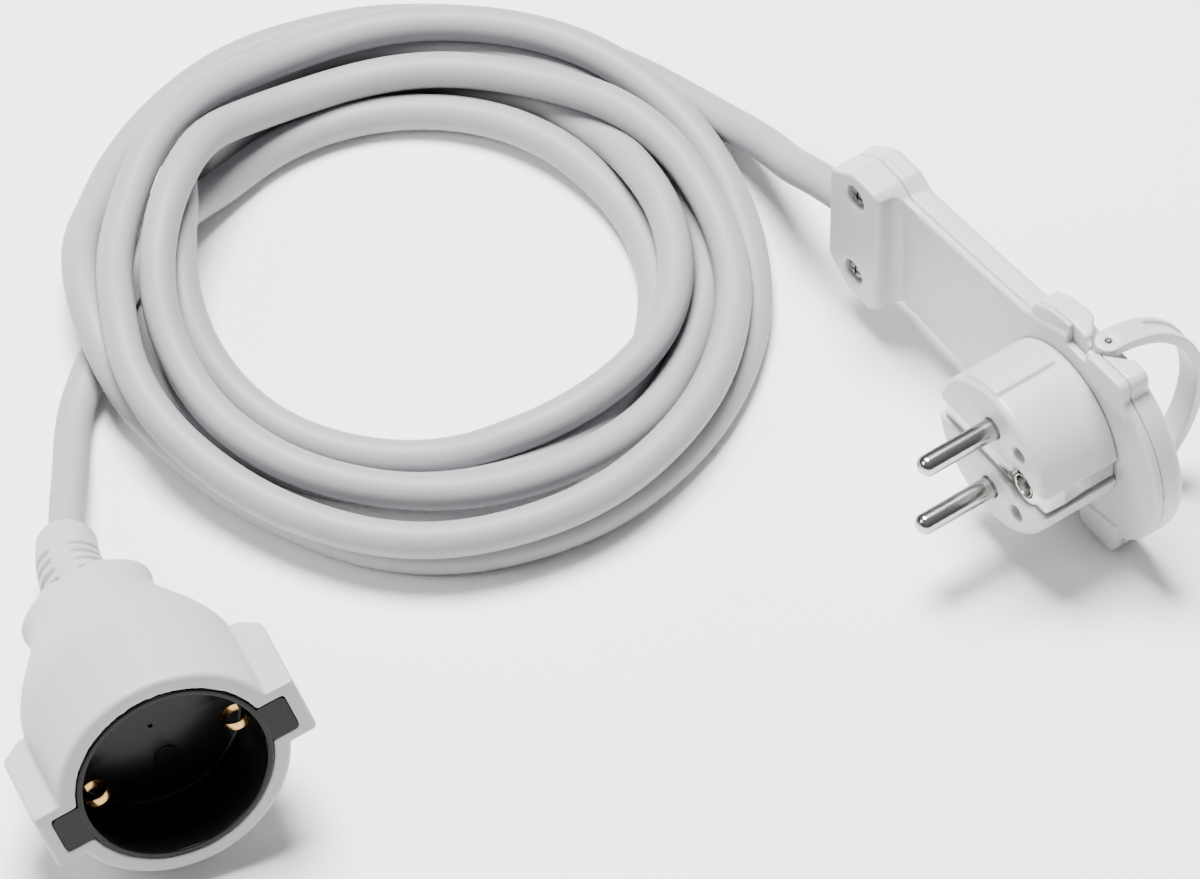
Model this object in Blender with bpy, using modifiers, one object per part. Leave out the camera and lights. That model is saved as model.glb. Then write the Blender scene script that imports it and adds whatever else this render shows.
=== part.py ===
"""Earthed two-metre extension cord: round coupler, loose round coil of cord, flat angled plug.

Blender 4.5, metres, +Z up. The cord rests on the floor plane z = 0.
"""
import bpy
import bmesh
from math import cos, radians, sin
from mathutils import Euler, Matrix, Vector

MM = 0.001
GAP = 0.3                      # clearance kept between neighbouring pieces, mm

# ---- placing, mm and degrees -------------------------------------------------------
COUPLER_AT = (-88.9, -73.6, 29.7)       # centre of the socket's rim face
COUPLER_YAW, COUPLER_TILT, COUPLER_ROLL = 20.2, 12.6, 16.7
PLUG_AT = (78.8, 11.6, 27.9)            # middle of the pin bases, on the head's face
PLUG_YAW = 36.2                         # direction of the plug's back, from +X
COIL_AT = (-40.7, 76.1)

# ---- cord ----------------------------------------------------------------------------
CORD_RADIUS = 3.95
COIL_INNER, COIL_OUTER, COIL_HEIGHT = 45.5, 76.0, 15.8
CORE_RADIUS = 1.25

# ---- coupler, distances back from the rim face along its axis, mm -------------------------
RING_RADIUS = 25.1
CAVITY_RADIUS = 21.3
CAVITY_DEPTH, CAVITY_SHOULDER = 33.2, 31.6
INSERT_RADIUS, WELL_RADIUS, WELL_DEPTH, INSERT_LENGTH = 21.0, 19.8, 17.0, 31.0
EAR_REACH, EAR_WIDTH, EAR_LENGTH = 30.1, 14.6, 22.5
THIN_START, THIN_SLOPE = 25.0, 0.46     # behind this depth the housing gets thinner top to bottom
TAB_REACH, TAB_WIDTH, TAB_DEPTH = 26.8, 9.2, 5.0
CONTACT_SPACING = 19.0
HOUSING_LENGTH = 67.6
RELIEF_START, RELIEF_BEND_START, RELIEF_END = 61.0, 66.0, 82.5
RELIEF_RADIUS, RELIEF_TIP_RADIUS = 7.6, 6.4
SHEATH_END = 57.5                       # where the sheath is stripped from the cores
RELIEF_HEADING = (0.0, 0.976, -0.22)    # world direction of the cord where it leaves the relief
CORD_BORE = CORD_RADIUS + 0.35

# ---- plug: x from the arm to the free end, y from the face to the back, z up, mm --------
PIN_RADIUS, PIN_LENGTH, PIN_SPACING = 2.4, 19.0, 19.0
HEAD_RADIUS = 18.5
PLATE_FRONT, PLATE_SEAM, PLATE_REAR = 19.5, 21.3, 27.0
DISC_CENTRE, DISC_RADIUS = 5.5, 25.8
CLAMP_FRONT, CLAMP_END, CLAMP_INNER = 13.8, -75.0, -57.5
CLAMP_HALF = 18.5
ARM_HALF_END, ARM_HALF_MIDDLE, ARM_HALF_DISC = 15.9, 17.7, 19.4
CORD_DEPTH = 19.0                       # the cord's axis in the clamp
SCREW_AT, SCREW_HEIGHT = -65.8, 11.9
SOCKET_AT = 10.0                        # female earth contact
BAIL_AT, BAIL_DEPTH = 7.0, 24.5         # hinge axis of the pull bail
BAIL_HALF_HEIGHT, BAIL_REACH = 27.5, 24.5
BAIL_WIDTH, BAIL_THICKNESS = 6.0, 2.5
BAIL_SWING = 45.0

WHITE = (0.83, 0.83, 0.85)
BRIGHT_WHITE = (0.87, 0.87, 0.87)


# ---- scene and materials --------------------------------------------------------------
for old in list(bpy.data.objects):
    bpy.data.objects.remove(old)


def collection(name):
    made = bpy.data.collections.new(name)
    bpy.context.scene.collection.children.link(made)
    return made


PARTS = collection("extension_cord")
CUTTERS = collection("cutters")


def material(name, colour, roughness, metallic=0.0):
    made = bpy.data.materials.new(name)
    made.use_nodes = True
    shader = made.node_tree.nodes["Principled BSDF"]
    shader.inputs["Base Color"].default_value = (*colour, 1.0)
    shader.inputs["Roughness"].default_value = roughness
    shader.inputs["Metallic"].default_value = metallic
    return made


# ---- frames ---------------------------------------------------------------------------
def frame(name, at, matrix):
    empty = bpy.data.objects.new(name, None)
    PARTS.objects.link(empty)
    empty.matrix_world = Matrix.Translation(Vector(at) * MM) @ matrix.to_4x4()
    return empty


# Coupler frame: +Z out of the socket, +X through the ears, face at z = 0.
out_of_socket = Euler((radians(90), 0, 0)).to_matrix() @ Matrix.Rotation(radians(COUPLER_ROLL), 3, "Z")
coupler_turn = (Matrix.Rotation(radians(COUPLER_YAW), 3, "Z")
                @ Matrix.Rotation(radians(-COUPLER_TILT), 3, "X") @ out_of_socket)
COUPLER = frame("coupler_frame", COUPLER_AT, coupler_turn)
PLUG = frame("plug_frame", PLUG_AT, Matrix.Rotation(radians(PLUG_YAW - 90), 3, "Z"))
WORLD = frame("floor_frame", (0, 0, 0), Matrix.Identity(3))
bpy.context.view_layer.update()


def in_world(parent, point):
    """A point of a frame, in mm, as a world point in mm."""
    return (parent.matrix_world @ (Vector(point) * MM)) / MM


def bent(point):
    """A point of the coupler frame, in mm, carried along by the bend of the relief."""
    axis = Vector((0, 0, -1))
    heading = (COUPLER.matrix_world.to_3x3().transposed() @ Vector(RELIEF_HEADING)).normalized()
    side = (heading - axis * heading.dot(axis)).normalized()
    across = side.cross(axis)
    radius = (RELIEF_END - RELIEF_BEND_START) / axis.angle(heading)
    along = -point[2] - RELIEF_BEND_START
    if along <= 0:
        return Vector(point)
    turn = along / radius
    middle = axis * (RELIEF_BEND_START + radius * sin(turn)) + side * (radius * (1 - cos(turn)))
    offset = Vector((point[0], point[1], 0))
    return middle + (side * cos(turn) - axis * sin(turn)) * offset.dot(side) + across * offset.dot(across)


# ---- making pieces -----------------------------------------------------------------------
def place(obj, parent, mat=None, cutter=False):
    (CUTTERS if cutter else PARTS).objects.link(obj)
    obj.parent = parent
    if mat:
        obj.data.materials.append(mat)
    if cutter:
        obj.hide_render = True
        obj.display_type = "WIRE"
    return obj


def smooth(obj, angle=35):
    obj.data.shade_smooth()
    obj.data.set_sharp_from_angle(angle=radians(angle))
    return obj


def from_bmesh(name, bm, parent, mat, cutter):
    mesh = bpy.data.meshes.new(name)
    bm.to_mesh(mesh)
    bm.free()
    return smooth(place(bpy.data.objects.new(name, mesh), parent, mat, cutter))


def box(name, low, high, parent, mat=None, cutter=False):
    bm = bmesh.new()
    low, high = Vector(low) * MM, Vector(high) * MM
    size = high - low
    move = Matrix.Translation((low + high) / 2) @ Matrix.Diagonal((*size, 1))
    bmesh.ops.create_cube(bm, size=1.0, matrix=move)
    return from_bmesh(name, bm, parent, mat, cutter)


def cylinder(name, start, end, radius, parent, mat=None, cutter=False, sides=32):
    """A round bar from start to end, in mm."""
    start, end = Vector(start) * MM, Vector(end) * MM
    turn = (end - start).to_track_quat("Z", "X").to_matrix().to_4x4()
    bm = bmesh.new()
    bmesh.ops.create_cone(bm, cap_ends=True, segments=sides, radius1=radius * MM, radius2=radius * MM,
                          depth=(end - start).length, matrix=Matrix.Translation((start + end) / 2) @ turn)
    return from_bmesh(name, bm, parent, mat, cutter)


def as_mesh(curve_object):
    """The curve's own mesh, with its loose caps welded on; the curve itself is removed."""
    bpy.context.view_layer.update()
    seen = curve_object.evaluated_get(bpy.context.evaluated_depsgraph_get())
    mesh = bpy.data.meshes.new_from_object(seen)
    bm = bmesh.new()
    bm.from_mesh(mesh)
    bmesh.ops.remove_doubles(bm, verts=bm.verts, dist=0.00001)
    bmesh.ops.recalc_face_normals(bm, faces=bm.faces)
    bm.to_mesh(mesh)
    bm.free()
    bpy.data.objects.remove(curve_object)
    return mesh


# Each plane's turn takes an outline's (across, up) and its extrusion onto the frame's axes.
PLANES = {
    "XY": Matrix.Identity(4),
    "XZ": Matrix(((1, 0, 0, 0), (0, 0, -1, 0), (0, 1, 0, 0), (0, 0, 0, 1))),
    "YZ": Matrix(((0, 0, 1, 0), (1, 0, 0, 0), (0, 1, 0, 0), (0, 0, 0, 1))),
}
NORMALS = {"XY": (0, 0, 1), "XZ": (0, 1, 0), "YZ": (1, 0, 0)}


def slab(name, outline, plane, low, high, parent, mat=None, cutter=False):
    """A flat outline, in mm, extruded from low to high along the plane's normal."""
    curve = bpy.data.curves.new(name, "CURVE")
    curve.dimensions = "2D"
    curve.fill_mode = "BOTH"
    curve.extrude = (high - low) / 2 * MM
    spline = curve.splines.new("POLY")
    spline.points.add(len(outline) - 1)
    for point, (across, up) in zip(spline.points, outline):
        point.co = (across * MM, up * MM, 0, 1)
    spline.use_cyclic_u = True
    flat = bpy.data.objects.new(name + "_outline", curve)
    CUTTERS.objects.link(flat)
    mesh = as_mesh(flat)
    mesh.name = name
    shift = Vector(NORMALS[plane]) * ((low + high) / 2 * MM)
    mesh.transform(Matrix.Translation(shift) @ PLANES[plane])
    return smooth(place(bpy.data.objects.new(name, mesh), parent, mat, cutter))


def turned(name, profile, parent, mat=None, cutter=False, steps=48, centre=(0, 0, 0), axis="Z"):
    """A closed or axis-to-axis profile of (radius, height), in mm, turned about the axis."""
    mesh = bpy.data.meshes.new(name)
    points = [(r * MM, 0, h * MM) for r, h in profile]
    closed = profile[0][0] > 0
    edges = [(i, i + 1) for i in range(len(points) - 1)]
    if closed:
        edges.append((len(points) - 1, 0))
    mesh.from_pydata(points, edges, [])
    obj = place(bpy.data.objects.new(name, mesh), parent, mat, cutter)
    obj.location = Vector(centre) * MM
    if axis == "Y":
        obj.rotation_euler = (radians(90), 0, 0)
    screw = obj.modifiers.new("turn", "SCREW")
    screw.steps = screw.render_steps = steps
    screw.use_merge_vertices = True
    screw.merge_threshold = 0.00001
    screw.use_smooth_shade = True
    return obj


def joined(obj, other):
    union = obj.modifiers.new("join " + other.name, "BOOLEAN")
    union.operation = "UNION"
    union.object = other
    return obj


def cut(obj, *cutters):
    for cutter in cutters:
        away = obj.modifiers.new("cut " + cutter.name, "BOOLEAN")
        away.object = cutter
    return obj


def tube(name, points, radius, parent, mat, sides=3):
    """A bar along world or frame points, in mm; sides is the curve's bevel resolution."""
    curve = bpy.data.curves.new(name, "CURVE")
    curve.dimensions = "3D"
    curve.bevel_depth = radius * MM
    curve.bevel_resolution = sides
    curve.use_fill_caps = True
    spline = curve.splines.new("POLY")
    spline.points.add(len(points) - 1)
    for point, co in zip(spline.points, points):
        point.co = (*(Vector(co) * MM), 1)
    curve.materials.append(mat)
    obj = bpy.data.objects.new(name, curve)
    PARTS.objects.link(obj)
    obj.parent = parent
    return obj


def smooth_path(route, spacing):
    """Points about spacing apart on the smooth (Catmull-Rom) curve through a route."""
    knots = [Vector(p) for p in route]
    ends = [2 * knots[0] - knots[1], *knots, 2 * knots[-1] - knots[-2]]
    found = [knots[0]]
    for a, b, c, d in zip(ends, ends[1:], ends[2:], ends[3:]):
        steps = max(1, round((c - b).length / spacing))
        for i in range(1, steps + 1):
            t = i / steps
            found.append(0.5 * ((2 * b) + (c - a) * t + (2 * a - 5 * b + 4 * c - d) * t ** 2
                                + (3 * b - a - 3 * c + d) * t ** 3))
    return found


def arc(centre, radius, start, end, count, height=None):
    """Points of a round or oval arc between two angles in degrees."""
    tall = radius if height is None else height
    angles = [radians(start + (end - start) * i / count) for i in range(count + 1)]
    return [(centre[0] + radius * cos(a), centre[1] + tall * sin(a)) for a in angles]


def mirrored(upper):
    """An outline that is the same above and below, from its upper half."""
    return upper + [(x, -y) for x, y in reversed(upper)]


# ---- coupler ---------------------------------------------------------------------------
rubber_white = material("coupler_white", WHITE, 0.45)
insert_black = material("socket_black", (0.012, 0.012, 0.014), 0.25)
brass = material("contact_brass", (0.72, 0.48, 0.20), 0.3, 1.0)
core_brown = material("core_brown", (0.16, 0.06, 0.03), 0.5)
core_blue = material("core_blue", (0.03, 0.12, 0.45), 0.5)
core_green = material("core_green_yellow", (0.25, 0.42, 0.05), 0.5)


def reshaped(obj, name, moved, mat):
    """A new piece from obj's finished mesh, each of its points, in mm, carried by moved."""
    bpy.context.view_layer.update()
    seen = obj.evaluated_get(bpy.context.evaluated_depsgraph_get())
    mesh = bpy.data.meshes.new_from_object(seen)
    for vertex in mesh.vertices:
        vertex.co = moved(vertex.co / MM) * MM
    bpy.data.objects.remove(obj)
    mesh.name = name
    return smooth(place(bpy.data.objects.new(name, mesh), COUPLER, mat))


def thinned(point):
    """Presses the round housing to an oval that gets flatter towards the cord."""
    half = RING_RADIUS - THIN_SLOPE * (-point.z - THIN_START)
    radius = Vector((point.x, point.y)).length
    squeeze = min(1.0, half / max(radius, MM))
    return Vector((point.x, point.y * squeeze, point.z))


def coupler_housing():
    """Body turned, then pressed oval at the rear, with its cavity, and two ears on the rim."""
    outer = [(0, 0), (RING_RADIUS - 0.9, 0), (RING_RADIUS, -0.9), (RING_RADIUS, -22), (24.0, -30), (22.1, -35),
             (19.8, -40), (17.6, -45), (15.6, -50), (14.4, -55.5), (14.9, -59), (14.8, -60.6), (11.4, -63.6),
             (RELIEF_RADIUS + 0.8, -HOUSING_LENGTH), (0, -HOUSING_LENGTH)]
    solid = turned("housing_outside", outer, COUPLER, cutter=True, steps=40)
    body = reshaped(solid, "coupler_housing", thinned, rubber_white)
    seat, behind = RELIEF_RADIUS + GAP, HOUSING_LENGTH + 1
    inner = [(0, 1), (CAVITY_RADIUS, 1), (CAVITY_RADIUS, -CAVITY_SHOULDER),
             (CAVITY_RADIUS - 1.5, -CAVITY_DEPTH), (15, -CAVITY_DEPTH - 3), (CORD_BORE, -53), (CORD_BORE, -RELIEF_START + GAP),
             (seat, -RELIEF_START + GAP), (seat, -behind), (0, -behind)]
    cut(body, turned("housing_inside", inner, COUPLER, cutter=True, steps=40))
    rear = EAR_LENGTH
    side = [(CAVITY_RADIUS + 0.4, 0), (EAR_REACH - 1, 0), (EAR_REACH, -1), (EAR_REACH - 0.6, -rear + 2),
            (RING_RADIUS - 0.8, -rear - 2), (CAVITY_RADIUS + 0.4, -rear - 2)]
    for way, name in ((1, "ear_right"), (-1, "ear_left")):
        outline = [(way * x, z) for x, z in side]
        half = EAR_WIDTH / 2
        joined(body, slab(name, outline, "XZ", -half, half, COUPLER, cutter=True))
    half = TAB_WIDTH / 2 + GAP
    reach = TAB_REACH + GAP
    return cut(body, box("tab_slot", (-reach, -half, -TAB_DEPTH - GAP), (reach, half, 1), COUPLER, cutter=True))


def socket_insert():
    """Black cup with the well, two ear tabs, contact bores and the earth clips' channels."""
    profile = [(0, -WELL_DEPTH), (WELL_RADIUS, -WELL_DEPTH), (WELL_RADIUS, -0.3), (INSERT_RADIUS, -0.3),
               (INSERT_RADIUS, -INSERT_LENGTH), (0, -INSERT_LENGTH)]
    body = turned("socket_insert", profile, COUPLER, insert_black)
    half = TAB_WIDTH / 2
    for way, name in ((1, "tab_right"), (-1, "tab_left")):
        low, high = sorted((way * (WELL_RADIUS + 0.6), way * TAB_REACH))
        joined(body, box(name, (low, -half, -TAB_DEPTH), (high, half, -0.3), COUPLER, cutter=True))
    cutters = []
    for way, name in ((1, "upper"), (-1, "lower")):
        y = way * CONTACT_SPACING / 2
        cutters.append(cylinder("contact_bore_" + name, (0, y, -WELL_DEPTH + 1), (0, y, -INSERT_LENGTH - 1),
                                3.4, COUPLER, cutter=True, sides=24))
    for way, name in ((1, "right"), (-1, "left")):
        low, high = sorted((way * 17.9, way * (INSERT_RADIUS + 1)))
        cutters.append(box("clip_channel_" + name, (low, -2.8, -INSERT_LENGTH - 1), (high, 2.8, -7.5),
                           COUPLER, cutter=True))
    return cut(body, *cutters)


def socket_contact(name, way):
    """Turned brass sleeve that takes one pin, open at the front."""
    profile = [(2.5, -WELL_DEPTH - 1.5), (3.1, -WELL_DEPTH - 1.5), (3.1, -INSERT_LENGTH - 0.6),
               (0, -INSERT_LENGTH - 0.6)]
    inner = [(0, -29.5), (2.5, -29.5)]
    return turned(name, inner + profile, COUPLER, brass, steps=20,
                  centre=(0, way * CONTACT_SPACING / 2, 0))


def earth_bow():
    """Brass bow: a strip behind the insert with a curled spring clip at each side of the well."""
    thick = 0.7
    outer_side = [(19.3, -6.2), (19.3, -32.6)]
    inner_side = [(19.3 - thick, -32.6 + thick), (19.3 - thick, -8.2)]
    curl_out = arc((16.3, -6.9), 3.1, 20, 230, 12)
    curl_in = arc((16.3, -6.9), 3.1 - thick, 230, 0, 10)
    right = list(reversed(outer_side)) + curl_out + curl_in + list(reversed(inner_side))
    outline = right + [(-x, z) for x, z in reversed(right)]
    return slab("socket_earth_bow", outline, "XZ", -1.2, 1.2, COUPLER, brass)


def coupler_cores():
    """Three insulated cores from the cord's end, on the axis, to the contacts and the bow."""
    behind = -INSERT_LENGTH - 1.0
    cores = (("coupler_core_live", core_brown, (0, 1.85), (0, CONTACT_SPACING / 2, behind)),
             ("coupler_core_neutral", core_blue, (-1.6, -0.95), (0, -CONTACT_SPACING / 2, behind)),
             ("coupler_core_earth", core_green, (1.6, -0.95), (11, 0, behind - 1.0)))
    for name, mat, (x, y), end in cores:
        near = (end[0], end[1], end[2] - 2.8)
        route = [(x, y, -SHEATH_END + GAP), (x, y, -52), (x * 1.6, y * 1.8, -47), near, end]
        tube(name, smooth_path(route, 3.2), CORE_RADIUS, COUPLER, mat, sides=1)


def coupler_bend_relief():
    """Tapered sleeve, bent with the cord, whose front end sits inside the housing."""
    steps = 6
    rings = []
    for k in range(steps + 1):
        share = k / steps
        along = RELIEF_BEND_START + share * (RELIEF_END - 1.0 - RELIEF_BEND_START)
        rings.append((RELIEF_RADIUS + share * (RELIEF_TIP_RADIUS - RELIEF_RADIUS), -along))
    profile = [(CORD_BORE, -RELIEF_START), (RELIEF_RADIUS, -RELIEF_START), *rings,
               (RELIEF_TIP_RADIUS - 1.0, -RELIEF_END), (CORD_BORE, -RELIEF_END)]
    bore = [(CORD_BORE, height) for radius, height in reversed(rings)]
    straight = turned("relief_straight", profile + bore, COUPLER, cutter=True, steps=28)
    return reshaped(straight, "coupler_bend_relief", bent, rubber_white)


coupler_housing()
socket_insert()
socket_contact("socket_contact_live", 1)
socket_contact("socket_contact_neutral", -1)
earth_bow()
coupler_cores()
coupler_bend_relief()


# ---- plug ------------------------------------------------------------------------------
plug_white = material("plug_white", BRIGHT_WHITE, 0.35)
nickel = material("pin_nickel", (0.68, 0.68, 0.66), 0.18, 1.0)
steel = material("screw_steel", (0.45, 0.45, 0.46), 0.35, 1.0)


def plate_outline(inset=0.0):
    """Clamp end, arm and disc, seen from the front; inset moves the whole edge inwards."""
    reach = DISC_RADIUS - inset
    arm = [(CLAMP_END + inset, 12.9 - inset / 2), (-67.0, CLAMP_HALF - inset), (-60.0, CLAMP_HALF - inset),
           (-55.5, ARM_HALF_END - inset), (-33.0, ARM_HALF_MIDDLE - inset), (-16.0, ARM_HALF_DISC - inset)]
    return mirrored(arm + arc((DISC_CENTRE, 0), reach, 118, 6, 16))


def front_shell():
    """Flat front half of arm and disc with the raised clamp block at the cord's end."""
    seam = PLATE_SEAM - GAP / 2
    shell = slab("plug_front_shell", plate_outline(), "XZ", PLATE_FRONT, seam, PLUG, plug_white)
    block = [(CLAMP_END, 12.9), (-67.0, CLAMP_HALF), (CLAMP_INNER, CLAMP_HALF)]
    joined(shell, slab("clamp_block", mirrored(block), "XZ", CLAMP_FRONT, seam - 0.2, PLUG, cutter=True))
    for way, name in ((1, "pad_upper"), (-1, "pad_lower")):
        corners = [(10.5, way * 20.0), (19.0, way * 19.0), (18.6, way * 26.4), (10.5, way * 27.2)]
        joined(shell, slab(name, corners, "XZ", PLATE_FRONT - 0.8, seam - 0.2, PLUG, cutter=True))
    cutters = [cylinder("carrier_window", (0, 15, 0), (0, 25, 0), 12.0, PLUG, cutter=True, sides=40),
               cylinder("cord_way", (CLAMP_END - 2, CORD_DEPTH, 0), (-60.5, CORD_DEPTH, 0), CORD_BORE, PLUG,
                        cutter=True, sides=28),
               slab("core_way", [(-61.0, 15.8), (-59.2, 15.8), (-57.2, 20.2), (-55.0, 20.2), (-55.0, 24),
                                 (-61.0, 24)], "XY", -4.4, 4.4, PLUG, cutter=True)]
    for way, name in ((1, "upper"), (-1, "lower")):
        z = way * SCREW_HEIGHT
        cutters.append(cylinder("head_recess_" + name, (SCREW_AT, CLAMP_FRONT - 2, z), (SCREW_AT, 16.8, z), 3.1,
                                PLUG, cutter=True, sides=24))
        cutters.append(cylinder("screw_way_" + name, (SCREW_AT, 16, z), (SCREW_AT, 23, z), 1.8, PLUG,
                                cutter=True, sides=16))
    return cut(shell, *cutters)


def rear_cover():
    """Hollow rear half: wall, floor, screw bosses, rim pads and the bail's pivot pockets."""
    seam = PLATE_SEAM + GAP / 2
    cover = slab("plug_rear_cover", plate_outline(), "XZ", seam, PLATE_REAR, PLUG, plug_white)
    for way, name in ((1, "upper"), (-1, "lower")):
        shoulder = [(-14.0, way * 19.0), (-11.0, way * 24.6), (-7.5, way * 26.6), (-1.5, way * 27.8),
                    (-1.0, way * 27.0), (3.5, way * 27.2), (3.5, way * 20.0)]
        joined(cover, slab("shoulder_" + name, shoulder, "XZ", seam + 0.4, PLATE_REAR - 0.6, PLUG, cutter=True))
        pad = [(10.5, way * 20.0), (19.0, way * 19.0), (18.6, way * 26.4), (10.5, way * 27.2)]
        joined(cover, slab("rear_pad_" + name, pad, "XZ", seam + 0.2, PLATE_REAR - 0.8, PLUG, cutter=True))
    inner = [(CLAMP_END + 2, 11.5), (-66.6, 16.5), (-60.4, 16.5), (-55.8, 13.9), (-33.0, 15.7), (-14.0, 17.4)]
    inner = mirrored(inner + arc((DISC_CENTRE, 0), 20.5, 122, 6, 14))
    cut(cover, slab("cover_hollow", inner, "XZ", seam - 1, PLATE_REAR - 1.8, PLUG, cutter=True))
    for way, name in ((1, "upper"), (-1, "lower")):
        z = way * SCREW_HEIGHT
        joined(cover, cylinder("screw_boss_" + name, (SCREW_AT, seam, z), (SCREW_AT, PLATE_REAR - 1, z), 3.6,
                               PLUG, cutter=True, sides=24))
        cut(cover, cylinder("screw_hole_" + name, (SCREW_AT, seam - 1, z), (SCREW_AT, 25.6, z), 1.8, PLUG,
                            cutter=True, sides=16))
        pocket_bottom, pocket_top = sorted((way * 23.6, way * 32.0))
        cut(cover, slab("pivot_pocket_" + name, pocket_outline(), "XY", pocket_bottom, pocket_top, PLUG,
                        cutter=True))
        cut(cover, cylinder("pivot_hole_" + name, (BAIL_AT, BAIL_DEPTH, way * 21.8),
                            (BAIL_AT, BAIL_DEPTH, way * 26), 1.4, PLUG, cutter=True, sides=16))
    return cut(cover, cylinder("cord_way_rear", (CLAMP_END - 2, CORD_DEPTH, 0), (-60.5, CORD_DEPTH, 0),
                               CORD_BORE, PLUG, cutter=True, sides=28))


def pocket_outline():
    """Round seat about the hinge axis, opening backwards as a wedge for the bail's swing."""
    seat = BAIL_WIDTH / 2 + 0.5
    lean = BAIL_SWING + 3
    far = 9.0
    round_part = arc((BAIL_AT, BAIL_DEPTH), seat, 180 + lean, 360 - lean, 10)
    left = round_part[0]
    right = round_part[-1]
    spread = (sin(radians(lean)), cos(radians(lean)))
    return round_part + [(right[0] + far * spread[0], right[1] + far * spread[1]),
                         (left[0] - far * spread[0], left[1] + far * spread[1])]


def pin_carrier():
    """Round white head with earth slots, a guide rib above and below, and the contact bores."""
    back = PLATE_FRONT - GAP
    head = cylinder("plug_pin_carrier", (0, 0, 0), (0, back, 0), HEAD_RADIUS, PLUG, plug_white, sides=56)
    joined(head, cylinder("carrier_stem", (0, back - 1, 0), (0, 21.7, 0), 11.7, PLUG, cutter=True, sides=40))
    for way, name in ((1, "rib_upper"), (-1, "rib_lower")):
        low, high = sorted((way * 12.0, way * (HEAD_RADIUS + 0.3)))
        joined(head, box(name, (-10.5, 0.6, low), (-0.4, 16.5, high), PLUG, cutter=True))
    cutters = [box("face_slot", (-20, -1, -3), (20, 2.2, 3), PLUG, cutter=True)]
    for way, name in ((1, "right"), (-1, "left")):
        low, high = sorted((way * 15.8, way * 20))
        cutters.append(box("side_slot_" + name, (low, -1, -3), (high, back + 1, 3), PLUG, cutter=True))
    cutters.append(cylinder("socket_seat", (SOCKET_AT, -1, 0), (SOCKET_AT, 2.2, 0), 4.9, PLUG, cutter=True,
                            sides=28))
    cutters.append(cylinder("socket_bore", (SOCKET_AT, 1, 0), (SOCKET_AT, 15.4, 0), 3.3, PLUG, cutter=True,
                            sides=24))
    cutters.append(cylinder("socket_tail_way", (SOCKET_AT, 15, 0), (SOCKET_AT, 24, 0), 1.6, PLUG, cutter=True,
                            sides=12))
    for way, name in ((1, "upper"), (-1, "lower")):
        z = way * PIN_SPACING / 2
        cutters.append(cylinder("pin_bore_" + name, (0, -1, z), (0, 24, z), PIN_RADIUS + GAP, PLUG, cutter=True,
                                sides=28))
        cutters.append(cylinder("blind_hole_" + name, (9.1, -1, way * 9.4), (9.1, 5, way * 9.4), 1.75, PLUG,
                                cutter=True, sides=20))
    return cut(head, *cutters)


def pin(name, way):
    """Round contact pin with a domed tip, running back to its terminal behind the head."""
    tip = PIN_LENGTH - PIN_RADIUS
    dome = [(PIN_RADIUS * sin(radians(a)), tip + PIN_RADIUS * cos(radians(a))) for a in range(0, 91, 15)]
    dome[0] = (0, PIN_LENGTH)
    profile = dome + [(PIN_RADIUS, -24.3), (0, -24.3)]
    return turned(name, profile, PLUG, nickel, steps=24, centre=(0, 0, way * PIN_SPACING / 2), axis="Y")


def earth_band():
    """Sprung nickel band: across the face in its slot and back along both sides."""
    reach, front, back, thick = 17.3, 1.0, 18.8, 0.8
    outline = [(-reach, back), (-reach, front + 0.6), (-reach + 0.6, front), (reach - 0.6, front),
               (reach, front + 0.6), (reach, back), (reach - thick, back), (reach - thick, front + thick),
               (-reach + thick, front + thick), (-reach + thick, back)]
    band = slab("plug_earth_band", outline, "XY", -2.4, 2.4, PLUG, nickel)
    joined(band, cylinder("band_eye", (SOCKET_AT, front + 0.05, 0), (SOCKET_AT, front + thick - 0.05, 0), 4.5,
                          PLUG, cutter=True, sides=28))
    return cut(band, cylinder("band_eye_hole", (SOCKET_AT, -1, 0), (SOCKET_AT, 4, 0), 3.2, PLUG, cutter=True,
                              sides=24))


def earth_socket():
    """Female earth contact: a nickel tube with a closed rear end and a terminal tail."""
    profile = [(0, -13.8), (2.45, -13.8), (2.45, -0.9), (2.9, -0.9), (2.9, -15.0), (1.3, -15.0), (1.3, -24.3),
               (0, -24.3)]
    return turned("plug_earth_socket", profile, PLUG, nickel, steps=20, centre=(SOCKET_AT, 0, 0), axis="Y")


def clamp_screw(name, way):
    """Pan-head screw with a cross recess."""
    profile = [(0, -14.7), (2.2, -14.7), (2.75, -15.3), (2.75, -16.5), (1.45, -16.5), (1.45, -24.8), (0, -25.3)]
    screw = turned(name, profile, PLUG, steel, steps=20, centre=(SCREW_AT, 0, way * SCREW_HEIGHT), axis="Y")
    z = way * SCREW_HEIGHT
    across = box(name + "_slot_a", (SCREW_AT - 1.6, 14, z - 0.35), (SCREW_AT + 1.6, 15.6, z + 0.35), PLUG,
                 cutter=True)
    upright = box(name + "_slot_b", (SCREW_AT - 0.35, 14, z - 1.6), (SCREW_AT + 0.35, 15.6, z + 1.6), PLUG,
                  cutter=True)
    return cut(screw, across, upright)


def cord_saddle():
    """Bar inside the cover that presses the sheath between the two screws."""
    bar = box("cord_clamp_saddle", (-69.0, 21.9, -7.3), (-63.0, 24.9, 7.3), PLUG, steel)
    return cut(bar, cylinder("saddle_groove", (-72, CORD_DEPTH, 0), (-60, CORD_DEPTH, 0), CORD_BORE, PLUG,
                             cutter=True, sides=28))


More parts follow.
